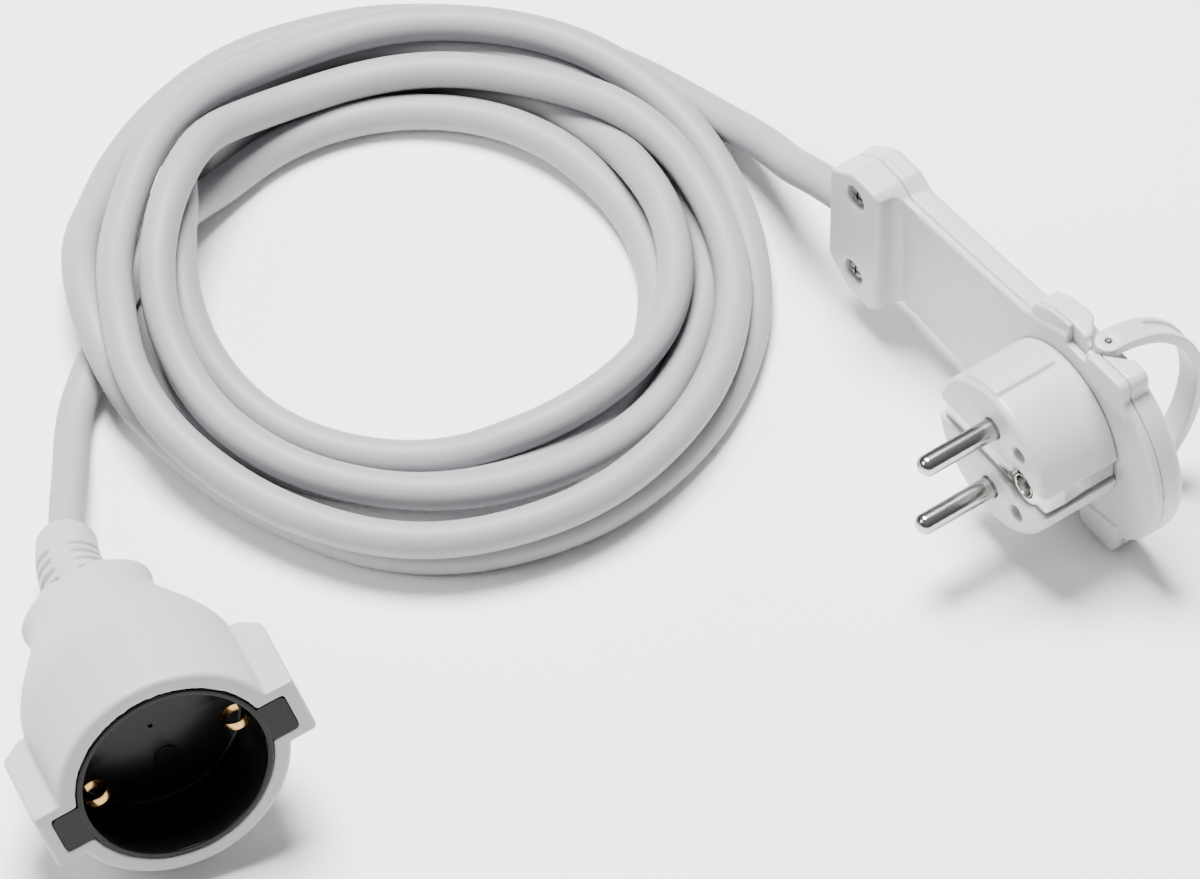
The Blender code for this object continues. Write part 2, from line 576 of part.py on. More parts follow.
def plug_cores():
    """Cores from the cord's end through the arm to the pins and the earth socket's tail."""
    deep = 23.35
    for name, mat, way in (("plug_core_live", core_brown, 1), ("plug_core_neutral", core_blue, -1)):
        route = [(-60.2, 20.4, way * 1.8), (-57.5, 22.4, way * 3.1), (-54, deep, way * 3.9),
                 (-34, deep, way * 6), (-12, deep, way * 9.2), (-2.8, deep, way * 9.5)]
        tube(name, smooth_path(route, 5), CORE_RADIUS, PLUG, mat, sides=1)
    route = [(-60.2, 17.5, 0), (-59.5, 18.2, 0), (-57.4, 22.2, 0), (-54, deep, 0), (-20, deep, 0),
             (SOCKET_AT - 1.7, deep, 0)]
    tube("plug_core_earth", smooth_path(route, 5), CORE_RADIUS, PLUG, core_green, sides=1)


def pull_bail():
    """Half-oval strap whose round ends turn on the two pivot pins; origin on the hinge axis."""
    hinge = bpy.data.objects.new("bail_hinge", None)
    PARTS.objects.link(hinge)
    hinge.parent = PLUG
    hinge.location = Vector((BAIL_AT, BAIL_DEPTH, 0)) * MM
    outer = arc((0, 0), BAIL_REACH, -78, 78, 22, BAIL_HALF_HEIGHT)
    inner = arc((0, 0), BAIL_REACH - BAIL_THICKNESS, 78, -78, 22, BAIL_HALF_HEIGHT - BAIL_THICKNESS)
    ends_up = [(2.0, BAIL_HALF_HEIGHT), (0, BAIL_HALF_HEIGHT), (0, BAIL_HALF_HEIGHT - BAIL_THICKNESS)]
    outline = outer + ends_up + inner + [(x, -z) for x, z in reversed(ends_up)]
    half = BAIL_WIDTH / 2
    strap = slab("pull_bail", outline, "YZ", -half, half, hinge, plug_white)
    for way, name in ((1, "upper"), (-1, "lower")):
        low = way * (BAIL_HALF_HEIGHT - BAIL_THICKNESS)
        high = way * BAIL_HALF_HEIGHT
        joined(strap, cylinder("bail_eye_" + name, (0, 0, low), (0, 0, high), half, hinge, cutter=True))
        cut(strap, cylinder("bail_eye_hole_" + name, (0, 0, low - 3 * way), (0, 0, high + 3 * way), 1.4, hinge,
                            cutter=True, sides=16))
        z = way * 22.2
        cylinder("bail_pivot_" + name, (BAIL_AT, BAIL_DEPTH, z), (BAIL_AT, BAIL_DEPTH, way * 27.9), 1.1, PLUG,
                 steel, sides=16)
    return strap


front_shell()
rear_cover()
pin_carrier()
pin("pin_live", 1)
pin("pin_neutral", -1)
earth_band()
earth_socket()
clamp_screw("clamp_screw_upper", 1)
clamp_screw("clamp_screw_lower", -1)
cord_saddle()
plug_cores()
pull_bail()


# ---- cord -----------------------------------------------------------------------------
cord_white = material("cord_white", WHITE, 0.4)


def coil():
    """Plain ring that stands for the turns lying on each other."""
    profile = [(COIL_INNER, 0.2), (COIL_INNER, COIL_HEIGHT), (COIL_OUTER, COIL_HEIGHT), (COIL_OUTER, 0.2)]
    return turned("cord_coil", profile, WORLD, cord_white, steps=56, centre=(*COIL_AT, 0))


def on_coil(angle, radius, height):
    """A world point given by its angle about the coil's centre, radius and height."""
    a = radians(angle)
    return (COIL_AT[0] + radius * cos(a), COIL_AT[1] + radius * sin(a), height)


def cord_tails():
    """The free stretches: coupler to coil, and coil to the plug's clamp."""
    inside = [in_world(COUPLER, bent((0, 0, -d))) for d in (SHEATH_END, 62.0, 67.0, 72.0, 77.0, RELIEF_END)]
    lead_in = inside + [(-114.3, 14.9, 8.7), (-114.1, 23.9, 6.7), (-113.8, 33.9, 4.7),
                        on_coil(203.5, COIL_OUTER + 4.6, 4.8)]
    tube("cord_tail_coupler", smooth_path(lead_in, 8), CORD_RADIUS, WORLD, cord_white)
    clamp = [in_world(PLUG, (u, CORD_DEPTH, 0)) for u in (-76.0, -69.0, -61.0)]
    lead_out = [(26.9, 120.8, 8.0), (33.4, 109.8, 14.5), (38.4, 99.3, 20.5), (43.9, 90.5, 25.8), *clamp]
    tube("cord_tail_plug", smooth_path(lead_out, 8), CORD_RADIUS, WORLD, cord_white)


coil()
cord_tails()
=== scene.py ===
"""Looks of the earthed extension cord: camera, cord, detailed pieces and materials round the frame."""
import bpy
import bmesh
import numpy as np
from math import cos, pi, radians, sin
from mathutils import Euler, Matrix, Vector


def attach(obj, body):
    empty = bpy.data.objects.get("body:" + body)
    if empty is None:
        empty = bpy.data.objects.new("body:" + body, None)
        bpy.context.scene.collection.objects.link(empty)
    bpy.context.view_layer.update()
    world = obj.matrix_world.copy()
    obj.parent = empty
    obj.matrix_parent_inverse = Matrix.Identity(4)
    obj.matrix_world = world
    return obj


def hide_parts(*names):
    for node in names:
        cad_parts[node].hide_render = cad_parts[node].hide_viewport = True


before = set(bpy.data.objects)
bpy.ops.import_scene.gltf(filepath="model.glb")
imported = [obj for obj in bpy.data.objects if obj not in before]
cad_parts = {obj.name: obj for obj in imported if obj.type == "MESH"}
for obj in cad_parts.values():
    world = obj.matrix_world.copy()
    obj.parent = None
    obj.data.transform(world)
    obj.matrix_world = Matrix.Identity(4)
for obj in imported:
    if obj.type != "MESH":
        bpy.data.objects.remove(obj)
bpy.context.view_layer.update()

MM = 0.001
BODY, BAIL = "cord_set", "bail"

# ---- the frame's own places, as in the CAD, mm and degrees ---------------------------------
COUPLER_AT = Vector((-88.9, -73.6, 29.7))
COUPLER_YAW, COUPLER_TILT, COUPLER_ROLL = 20.2, 12.6, 16.7
PLUG_AT = Vector((78.8, 11.6, 27.9))
PLUG_YAW = 36.2
COIL_CENTRE = (-40.7, 76.1)

# ---- cord ----------------------------------------------------------------------------------
CORD = 7.9
CORD_WAY = 4.02                 # bore of the relief round the cord
RELIEF_BEND_START, RELIEF_END = 66.0, 82.5
RELIEF_HEADING = Vector((0.0, 0.976, -0.22))
AFTER_RELIEF = [(-114.3, 14.9, 8.7), (-114.1, 23.9, 6.7), (-113.8, 33.9, 4.7), (-113.3, 44.0, 4.0),
                (-111.7, 55.8, 4.0), (-108.4, 67.0, 4.6), (-103.0, 75.0, 9.5), (-97.5, 83.5, 10.2),
                (-91.8, 94.0, 7.6)]
LEAD_OUT = [(-20.5, 151.6, 4.0), (-1.5, 143.6, 4.0), (11.4, 135.3, 4.0), (19.4, 129.6, 4.4),
            (26.9, 120.8, 8.0), (33.4, 109.8, 14.5), (38.4, 99.3, 20.5), (43.9, 90.5, 25.8),
            (49.6, 83.5, 27.9), (52.8, 79.1, 27.9), (55.2, 75.9, 27.9)]
ROUTE_STEP = 3.6                # distance between the cord's points
OPEN_RADIUS, OPEN_REACH = 50, 3     # tightest bend wanted, and how many points to each side it is felt
HELD_START, HELD_END = 8, 14    # points inside the relief and the clamp, which stay where they are
COIL_START, COIL_STEP = 150, 30
# Each row is one clockwise turn from 150 degrees: how far the strand's centre is from the coil's
# centre every 30 degrees, then how high it lies there, both in mm.
COIL_TURNS = [
    ((53.5, 53, 53.5, 50.5, 50.5, 50, 51, 54, 53, 55.5, 58.5, 59),
     (4.5, 4, 4, 6, 4, 4, 4, 4, 4, 4, 4, 4)),
    ((62.5, 63, 63, 60.5, 54, 55, 53, 48.5, 44.5, 46, 49, 54),
     (4, 5, 4.5, 4, 12.5, 10, 11.5, 8.5, 4, 4, 4, 15.5)),
    ((59, 70.5, 71, 69.5, 65, 60.5, 58.5, 60, 58.5, 58.5, 57.5, 56),
     (12.5, 4, 4, 4, 4, 4, 5, 9.5, 9.5, 11, 12, 23)),
    ((55, 58, 58.5, 60, 63.5, 66.5, 69, 72, 73.5, 70, 69, 65),
     (18.5, 10.5, 11, 12.5, 12.5, 10.5, 11.5, 11.5, 11.5, 11.5, 16.5, 18.5)),
    ((64, 68, 71.5, 74, 72, 71, 70.5, 71.5, 71.5, 67, 67.5, 71),
     (18.5, 12.5, 12, 10, 7, 4, 4, 4, 4, 4, 6.5, 10)),
    ((76, 79.5, 79), (4, 4, 4)),
]


def smooth_path(route, spacing):
    """Points about spacing apart on the smooth (Catmull-Rom) curve through a route."""
    knots = [Vector(p) for p in route]
    ends = [2 * knots[0] - knots[1], *knots, 2 * knots[-1] - knots[-2]]
    found = [knots[0]]
    for a, b, c, d in zip(ends, ends[1:], ends[2:], ends[3:]):
        steps = max(1, round((c - b).length / spacing))
        for i in range(1, steps + 1):
            t = i / steps
            found.append(0.5 * ((2 * b) + (c - a) * t + (2 * a - 5 * b + 4 * c - d) * t ** 2
                                + (3 * b - a - 3 * c + d) * t ** 3))
    return found


def coil_route():
    """The coil's points, turn by turn, on circles about its centre."""
    points = []
    angle = COIL_START
    for distances, heights in COIL_TURNS:
        for distance, height in zip(distances, heights):
            a = radians(angle)
            points.append((COIL_CENTRE[0] + distance * cos(a), COIL_CENTRE[1] + distance * sin(a), height))
            angle -= COIL_STEP
    return points


def opened(x, radius=OPEN_RADIUS, reach=OPEN_REACH):
    """How far each point moves to open the bends that are tighter than radius."""
    ahead, middle, behind = x[2 * reach:], x[reach:-reach], x[:-2 * reach]
    sag = (ahead + behind) / 2 - middle
    depth = np.linalg.norm(sag, axis=1)
    allowed = np.sum(((ahead - behind) / 2) ** 2, axis=1) / (2 * radius)
    push = sag * np.where(depth > allowed, 1 - allowed / np.maximum(depth, 1e-6), 0)[:, None]
    move = np.zeros_like(x)
    move[reach:-reach] += push / 4
    move[2 * reach:] -= push / 8
    move[:-2 * reach] -= push / 8
    return move


def settled(path, rounds=240, stiffness=0.3, hold=0.05):
    """The path after its strands have pushed each other apart, to lie on each other and the floor."""
    start = np.array(path, float)
    x = start.copy()
    count = len(x)
    first, second = np.triu_indices(count, 8)
    for step in range(rounds):
        if step % 10 == 0:
            near = np.linalg.norm(x[first] - x[second], axis=1) < 1.5 * CORD
            i, j = first[near], second[near]
        before = x.copy()
        straight = x.copy()
        straight[2:-2] = (-x[:-4] + 4 * x[1:-3] + 4 * x[3:-1] - x[4:]) / 6
        x += stiffness * (straight - x)
        x += hold * (1 - step / rounds) * (start - x)
        for _ in range(3):
            x += opened(x)
            apart = x[i] - x[j]
            gap = np.linalg.norm(apart, axis=1)
            push = np.where(gap < CORD, (CORD - gap) / np.maximum(gap, 1e-6), 0)[:, None] * apart / 2
            touching = np.bincount(i, gap < CORD, count) + np.bincount(j, gap < CORD, count)
            move = np.zeros_like(x)
            np.add.at(move, i, push)
            np.add.at(move, j, -push)
            x += move / np.sqrt(np.maximum(touching, 1))[:, None]
            x[:, 2] = np.maximum(x[:, 2], CORD / 2)
        x[:HELD_START] = before[:HELD_START]
        x[-HELD_END:] = before[-HELD_END:]
    return x


# ---- the two connectors' own frames -----------------------------------------------------
out_of_socket = Euler((radians(90), 0, 0)).to_matrix() @ Matrix.Rotation(radians(COUPLER_ROLL), 3, "Z")
coupler_turn = (Matrix.Rotation(radians(COUPLER_YAW), 3, "Z")
                @ Matrix.Rotation(radians(-COUPLER_TILT), 3, "X") @ out_of_socket)
# Coupler frame: +Z out of the socket, +X through the ears. Plug frame: x from the arm to the free
# end, y from the pins' face to the back, z up.
COUPLER = Matrix.Translation(COUPLER_AT) @ coupler_turn.to_4x4()
PLUG = Matrix.Translation(PLUG_AT) @ Matrix.Rotation(radians(PLUG_YAW - 90), 4, "Z")


def bent(point):
    """A point of the coupler frame carried along by the bend of the relief, as in the CAD."""
    axis = Vector((0, 0, -1))
    heading = (coupler_turn.transposed() @ RELIEF_HEADING).normalized()
    side = (heading - axis * heading.dot(axis)).normalized()
    across = side.cross(axis)
    radius = (RELIEF_END - RELIEF_BEND_START) / axis.angle(heading)
    along = -point[2] - RELIEF_BEND_START
    if along <= 0:
        return Vector(point)
    turn = along / radius
    middle = axis * (RELIEF_BEND_START + radius * sin(turn)) + side * (radius * (1 - cos(turn)))
    offset = Vector((point[0], point[1], 0))
    return middle + (side * cos(turn) - axis * sin(turn)) * offset.dot(side) + across * offset.dot(across)


# ---- camera --------------------------------------------------------------------------------
def camera():
    """A long lens at the photograph's viewing angle."""
    elevation, distance, aim = radians(50.2), 2.4, Vector((-0.0026, 0.0398, 0))
    data = bpy.data.cameras.new("camera")
    data.sensor_width = 36
    data.lens = 339.84
    data.clip_start, data.clip_end = 0.1, 20
    obj = bpy.data.objects.new("camera", data)
    obj.location = aim + distance * Vector((0, -cos(elevation), sin(elevation)))
    obj.rotation_euler = (pi / 2 - elevation, 0, 0)
    bpy.context.scene.collection.objects.link(obj)
    bpy.context.scene.camera = obj


camera()


# ---- materials -----------------------------------------------------------------------------
MOTTLE_SIZE = 0.018             # size of the slow changes in colour, m
BUMP_DEPTH = 0.0001             # height of the surface grain, m


def moulded(name, colour, roughness, grain=0.00035, bump=0.08, mottle=0.03, specular=0.4):
    """Moulded plastic or rubber: fine grain in the surface, slow variation in colour and gloss."""
    made = bpy.data.materials.new(name)
    made.use_nodes = True
    nodes, links = made.node_tree.nodes, made.node_tree.links
    shader = nodes["Principled BSDF"]
    shader.inputs["Specular IOR Level"].default_value = specular
    place = nodes.new("ShaderNodeTexCoord")

    def noise(size, detail):
        made_noise = nodes.new("ShaderNodeTexNoise")
        made_noise.inputs["Scale"].default_value = 1 / size
        made_noise.inputs["Detail"].default_value = detail
        links.new(place.outputs["Object"], made_noise.inputs["Vector"])
        return made_noise.outputs["Fac"]

    slow = noise(MOTTLE_SIZE, 3)
    fine = noise(grain, 4)
    tint = nodes.new("ShaderNodeMix")
    tint.data_type = "RGBA"
    links.new(slow, tint.inputs["Factor"])
    tint.inputs["A"].default_value = (*[c * (1 - mottle) for c in colour], 1)
    tint.inputs["B"].default_value = (*[min(1, c * (1 + mottle)) for c in colour], 1)
    links.new(tint.outputs["Result"], shader.inputs["Base Color"])
    gloss = nodes.new("ShaderNodeMapRange")
    gloss.inputs["To Min"].default_value = roughness - 0.06
    gloss.inputs["To Max"].default_value = roughness + 0.06
    links.new(fine, gloss.inputs["Value"])
    links.new(gloss.outputs["Result"], shader.inputs["Roughness"])
    relief = nodes.new("ShaderNodeBump")
    relief.inputs["Strength"].default_value = bump
    relief.inputs["Distance"].default_value = BUMP_DEPTH
    links.new(fine, relief.inputs["Height"])
    links.new(relief.outputs["Normal"], shader.inputs["Normal"])
    return made


def metal(name, colour, roughness, grain=0.0004, stretch=(1, 1, 12)):
    """Plated or stamped metal with fine drawing marks and slightly uneven gloss."""
    made = bpy.data.materials.new(name)
    made.use_nodes = True
    nodes, links = made.node_tree.nodes, made.node_tree.links
    shader = nodes["Principled BSDF"]
    shader.inputs["Metallic"].default_value = 1
    place = nodes.new("ShaderNodeTexCoord")
    along = nodes.new("ShaderNodeMapping")
    along.inputs["Scale"].default_value = stretch
    marks = nodes.new("ShaderNodeTexNoise")
    marks.inputs["Scale"].default_value = 1 / grain
    marks.inputs["Detail"].default_value = 3
    links.new(place.outputs["Object"], along.inputs["Vector"])
    links.new(along.outputs["Vector"], marks.inputs["Vector"])
    tint = nodes.new("ShaderNodeMix")
    tint.data_type = "RGBA"
    links.new(marks.outputs["Fac"], tint.inputs["Factor"])
    tint.inputs["A"].default_value = (*[c * 0.9 for c in colour], 1)
    tint.inputs["B"].default_value = (*[min(1, c * 1.06) for c in colour], 1)
    links.new(tint.outputs["Result"], shader.inputs["Base Color"])
    gloss = nodes.new("ShaderNodeMapRange")
    gloss.inputs["To Min"].default_value = max(0.02, roughness - 0.07)
    gloss.inputs["To Max"].default_value = roughness + 0.09
    links.new(marks.outputs["Fac"], gloss.inputs["Value"])
    links.new(gloss.outputs["Result"], shader.inputs["Roughness"])
    relief = nodes.new("ShaderNodeBump")
    relief.inputs["Strength"].default_value = 0.05
    relief.inputs["Distance"].default_value = BUMP_DEPTH
    links.new(marks.outputs["Fac"], relief.inputs["Height"])
    links.new(relief.outputs["Normal"], shader.inputs["Normal"])
    return made


sheath = moulded("sheath", (0.30, 0.295, 0.31), 0.5, bump=0.1)
soft_white = moulded("soft_white", (0.42, 0.415, 0.435), 0.5, bump=0.14)
hard_white = moulded("hard_white", (0.52, 0.52, 0.525), 0.34, bump=0.05, specular=0.5)
glossy_black = moulded("glossy_black", (0.007, 0.007, 0.008), 0.2, bump=0.03, specular=0.16)
bright_brass = metal("bright_brass", (0.55, 0.34, 0.12), 0.24)
nickel = metal("nickel", (0.50, 0.49, 0.475), 0.16)
zinc = metal("zinc", (0.20, 0.20, 0.205), 0.3)
core_brown = moulded("core_brown", (0.16, 0.06, 0.03), 0.45)
core_blue = moulded("core_blue", (0.03, 0.12, 0.45), 0.45)
core_green = moulded("core_green", (0.25, 0.42, 0.05), 0.45)


# ---- the cord ------------------------------------------------------------------------------
def cord():
    """One sheathed cord from the coupler's relief, through the coil, into the plug's clamp."""
    in_relief = [COUPLER @ bent((0, 0, -along)) for along in (72.0, 77.0, RELIEF_END)]
    route = smooth_path([*in_relief, *AFTER_RELIEF, *coil_route(), *LEAD_OUT], ROUTE_STEP)
    path = settled(route)
    curve = bpy.data.curves.new("cord", "CURVE")
    curve.dimensions = "3D"
    curve.bevel_depth = CORD / 2 * MM
    curve.bevel_resolution = 8
    curve.use_fill_caps = True
    spline = curve.splines.new("POLY")
    spline.points.add(len(path) - 1)
    for point, place in zip(spline.points, path):
        point.co = (*(Vector(place) * MM), 1)
    spline.use_smooth = True
    curve.materials.append(sheath)
    obj = bpy.data.objects.new("cord", curve)
    bpy.context.scene.collection.objects.link(obj)
    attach(obj, BODY)
    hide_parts("cord_coil", "cord_tail_coupler", "cord_tail_plug")


cord()


# ---- making pieces, in mm in a frame of their own --------------------------------------------
def from_bmesh(name, bm):
    bmesh.ops.recalc_face_normals(bm, faces=bm.faces)
    mesh = bpy.data.meshes.new(name)
    bm.to_mesh(mesh)
    bm.free()
    obj = bpy.data.objects.new(name, mesh)
    bpy.context.scene.collection.objects.link(obj)
    return obj


def applied(obj):
    """obj with its modifiers made part of its mesh."""
    bpy.context.view_layer.update()
    seen = obj.evaluated_get(bpy.context.evaluated_depsgraph_get())
    mesh = bpy.data.meshes.new_from_object(seen)
    obj.modifiers.clear()
    obj.data = mesh
    return obj


def combined(obj, operation, *others):
    """obj joined with, or cut by, other closed pieces, which are used up."""
    for other in others:
        step = obj.modifiers.new("step", "BOOLEAN")
        step.operation = operation
        step.object = other
        applied(obj)
        bpy.data.objects.remove(other)
    return obj


def softened(obj, voxel, rounds):
    """obj rebuilt as an even skin whose edges, inner and outer, are rounded off."""
    skin = obj.modifiers.new("skin", "REMESH")
    skin.mode = "VOXEL"
    skin.voxel_size = voxel
    even = obj.modifiers.new("even", "SMOOTH")
    even.factor = 0.5
    even.iterations = rounds
    return applied(obj)


def filleted(corners, closed=True, steps=6):
    """The outline through corners (x, y, radius), each replaced by an arc of its radius."""
    found = []
    count = len(corners)
    for k, (x, y, radius) in enumerate(corners):
        here = Vector((x, y))
        if radius == 0 or (not closed and k in (0, count - 1)):
            found.append((x, y))
            continue
        into = (here - Vector(corners[k - 1][:2])).normalized()
        away = (Vector(corners[(k + 1) % count][:2]) - here).normalized()
        way = 1 if into.cross(away) > 0 else -1
        angle = into.angle(away)
        side = Vector((-into.y, into.x)) * way
        centre = here - into * (radius * np.tan(angle / 2)) + side * radius
        for i in range(steps + 1):
            offset = Matrix.Rotation(way * angle * i / steps, 2) @ (-side * radius)
            found.append(tuple(centre + offset))
    return found


def arc(centre, radius, start, end, count, height=None):
    """Points of a round or oval arc between two angles in degrees."""
    tall = radius if height is None else height
    angles = [radians(start + (end - start) * i / count) for i in range(count + 1)]
    return [(centre[0] + radius * cos(a), centre[1] + tall * sin(a)) for a in angles]


def mirrored(upper):
    """An outline that is the same above and below, from its upper half."""
    return upper + [(x, -y, *rest) for x, y, *rest in reversed(upper)]


PLANES = {"XY": (0, 1, 2), "XZ": (0, 2, 1), "YZ": (1, 2, 0)}


def prism(name, outline, plane, low, high):
    """An outline's prism between two heights across its plane."""
    across, up, out = PLANES[plane]
    bm = bmesh.new()
    ends = []
    for height in (low, high):
        ring = []
        for point in outline:
            place = [0, 0, 0]
            place[across], place[up], place[out] = point[0], point[1], height
            ring.append(bm.verts.new(place))
        ends.append(ring)
        bm.faces.new(ring)
    for k in range(len(outline)):
        bm.faces.new((ends[0][k - 1], ends[0][k], ends[1][k], ends[1][k - 1]))
    return from_bmesh(name, bm)


def box(name, low, high):
    corners = [(low[0], low[1]), (high[0], low[1]), (high[0], high[1]), (low[0], high[1])]
    return prism(name, corners, "XY", low[2], high[2])


def lathe(name, profile, steps=96, centre=(0, 0), axis="Z", ring=False):
    """A body turned about an axis from (radius, height) points; ring closes the profile on itself."""
    bm = bmesh.new()
    rows = []
    for radius, height in profile:
        row = []
        for k in range(steps if radius > 1e-6 else 1):
            a = 2 * pi * k / steps
            flat = (centre[0] + radius * cos(a), centre[1] + radius * sin(a))
            row.append(bm.verts.new((*flat, height) if axis == "Z" else (flat[0], -height, flat[1])))
        rows.append(row)
    pairs = list(zip(rows, rows[1:])) + ([(rows[-1], rows[0])] if ring else [])
    for low, high in pairs:
        for k in range(steps):
            after = k + 1
            quad = [low[k % len(low)], low[after % len(low)], high[after % len(high)], high[k % len(high)]]
            face = list(dict.fromkeys(quad))
            if len(face) > 2:
                bm.faces.new(face)
    return from_bmesh(name, bm)


def bar(name, start, end, radius, steps=48):
    """A round bar from start to end."""
    start, end = Vector(start), Vector(end)
    turn = (end - start).to_track_quat("Z", "X").to_matrix().to_4x4()
    bm = bmesh.new()
    bmesh.ops.create_cone(bm, cap_ends=True, segments=steps, radius1=radius, radius2=radius,
                          depth=(end - start).length, matrix=Matrix.Translation((start + end) / 2) @ turn)
    return from_bmesh(name, bm)


def bevelled(obj, width, angle=35, segments=3):
    edge = obj.modifiers.new("edge", "BEVEL")
    edge.width = width
    edge.segments = segments
    edge.limit_method = "ANGLE"
    edge.angle_limit = radians(angle)
    return applied(obj)


def finished(obj, own_frame, mat, slot, *nodes, body=BODY, angle=40):
    """Takes a piece in mm to its place in the frame, in metres, and hides the CAD parts it stands in for."""
    obj.data.transform(Matrix.Scale(MM, 4) @ own_frame)
    obj.data.materials.clear()
    obj.data.materials.append(mat)
    obj.data.shade_smooth()
    obj.data.set_sharp_from_angle(angle=radians(angle))
    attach(obj, body)
    if nodes:
        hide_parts(*nodes)
    return obj


# ---- coupler, distances back from the rim face along its axis, mm ---------------------------
RING_RADIUS, CAVITY_RADIUS, HOUSING_LENGTH = 25.1, 21.3, 67.6
THIN_START, THIN_SLOPE = 25, 0.46   # behind this depth the housing gets thinner top to bottom
EAR_REACH, EAR_HALF, EAR_REAR = 30.1, 7.3, 24.4
TAB_REACH, TAB_HALF, TAB_DEPTH = 26.8, 4.6, 5.0
HOUSING_SEAM_DEPTH, HOUSING_SEAM_WIDTH = 0.22, 0.5
RELIEF_START, RELIEF_RADIUS, RELIEF_TAPER = 61.1, 7.6, 1.2
TIP_ROUND, TIP_DROP = 1.6, 1.3      # length and depth of the rounding at the relief's tip
SLOT_FIRST, SLOT_PITCH, SLOT_ROWS, SLOT_DEPTH = 63.4, 3.1, 4, 1.0
WELL_RADIUS, WELL_DEPTH, CUP_RADIUS, CUP_LENGTH = 19.8, 17, 21.1, 31
CONTACT_AT = 9.5                    # contact holes' distance from the axis
CLIP_AT, CLIP_RADIUS, CLIP_THICK, CLIP_HALF = (16.3, -6.9), 3.1, 0.5, 1.0


def coupler_shell():
    """Soft moulded body: rim, two ears, waist, oval rear thinning towards the cord, and a seam."""
    outer = [(0, 0), (24.2, 0), (24.8, -0.3), (RING_RADIUS, -1.0), (RING_RADIUS, -16), (24.9, -23),
             (24.0, -30), (22.1, -35.4), (19.8, -40.2), (17.6, -44.8), (15.8, -49.0), (14.9, -52.3),
             (14.4, -55.0), (14.4, -56.4), (14.7, -58.0), (15.0, -59.2), (14.8, -60.5), (13.5, -61.9),
             (11.4, -63.5), (9.2, -65.6), (8.5, -HOUSING_LENGTH), (0, -HOUSING_LENGTH)]
    shell = lathe("coupler_shell", outer, 120)
    for vertex in shell.data.vertices:
        x, y, z = vertex.co
        radius = max(1e-6, np.hypot(x, y))
        vertex.co.y *= min(1, (RING_RADIUS - THIN_SLOPE * (-z - THIN_START)) / radius)
    inner = [(0, 1), (CAVITY_RADIUS, 1), (CAVITY_RADIUS, -31.6), (19.8, -33.2), (15, -36.2), (4.4, -53),
             (4.4, -60.9), (7.7, -60.9), (7.7, -69), (0, -69)]
    combined(shell, "DIFFERENCE", lathe("cavity", inner, 120))
    ear = filleted([(21.7, 0, 0), (EAR_REACH, 0, 0.6), (EAR_REACH, -20.6, 1.6), (25.5, -EAR_REAR, 2.0),
                    (21.7, -EAR_REAR, 0)])
    ears = [prism("ear_%d" % way, [(way * x, z) for x, z in ear], "XZ", -EAR_HALF, EAR_HALF)
            for way in (1, -1)]
    combined(shell, "UNION", *ears)
    room = Vector((TAB_REACH + 0.2, TAB_HALF + 0.2, TAB_DEPTH + 0.3))
    combined(shell, "DIFFERENCE", box("tab_room", -room, (room.x, room.y, 2)))
    softened(shell, 0.45, 6)
    for vertex in shell.data.vertices:
        x, y, z = vertex.co
        if y > 6 and -66 < z < -0.5 and abs(x) < 2:
            vertex.co.y -= HOUSING_SEAM_DEPTH * np.exp(-(x / HOUSING_SEAM_WIDTH) ** 2)
    finished(shell, COUPLER, soft_white, "coupler_white", "coupler_housing", angle=60)


def relief_depth(along, a, from_rib, taper):
    """How far slots, seam and the tip's rounding lie under the relief's plain taper."""
    edge = max(0, along - (RELIEF_END - TIP_ROUND)) / TIP_ROUND
    rounding = TIP_DROP * (1 - np.sqrt(max(0, 1 - edge ** 2)))
    seam = 0.12 * np.exp(-((a - pi / 2) * (taper - rounding) / 0.25) ** 2)
    depth = rounding + seam
    for row in range(SLOT_ROWS):
        middle = SLOT_FIRST + SLOT_PITCH * row + 1.2 * (1 - cos(from_rib))
        across = 1 / (1 + np.exp((abs(along - middle) - 0.5) / 0.1))
        around = 1 / (1 + np.exp((abs(from_rib - radians(52)) - radians(32)) / radians(2)))
        depth += SLOT_DEPTH * across * around
    return depth


def relief_sleeve():
    """Bent tapered sleeve with four slots on each side of a rib, above and below."""
    rows, steps = 120, 144
    turns = [2 * pi * k / steps for k in range(steps)]
    bm = bmesh.new()
    loops = []
    for r in range(rows + 1):
        along = RELIEF_START + (RELIEF_END - RELIEF_START) * r / rows
        share = max(0, along - RELIEF_BEND_START) / (RELIEF_END - RELIEF_BEND_START)
        taper = RELIEF_RADIUS - RELIEF_TAPER * share
        ring = []
        for a in turns:
            reach = taper - relief_depth(along, a, abs(a % pi - pi / 2), taper)
            ring.append(bm.verts.new(bent((reach * cos(a), reach * sin(a), -along))))
        loops.append(ring)
    for along in (RELIEF_END, 78.0, 74.0, 70.0, 66.0, RELIEF_START):
        loops.append([bm.verts.new(bent((CORD_WAY * cos(a), CORD_WAY * sin(a), -along))) for a in turns])
    for low, high in zip(loops, loops[1:] + loops[:1]):
        for k in range(steps):
            bm.faces.new((low[k - 1], low[k], high[k], high[k - 1]))
    sleeve = from_bmesh("relief_sleeve", bm)
    finished(sleeve, COUPLER, soft_white, "coupler_white", "coupler_bend_relief", angle=60)


def line_ring(name, centre, inner, outer, depth, steps):
    """A thin round groove's cutter in the well's floor."""
    top = -WELL_DEPTH + 1
    profile = [(inner, top), (inner, -depth), (outer, -depth), (outer, top)]
    return lathe(name, profile, steps, centre, ring=True)


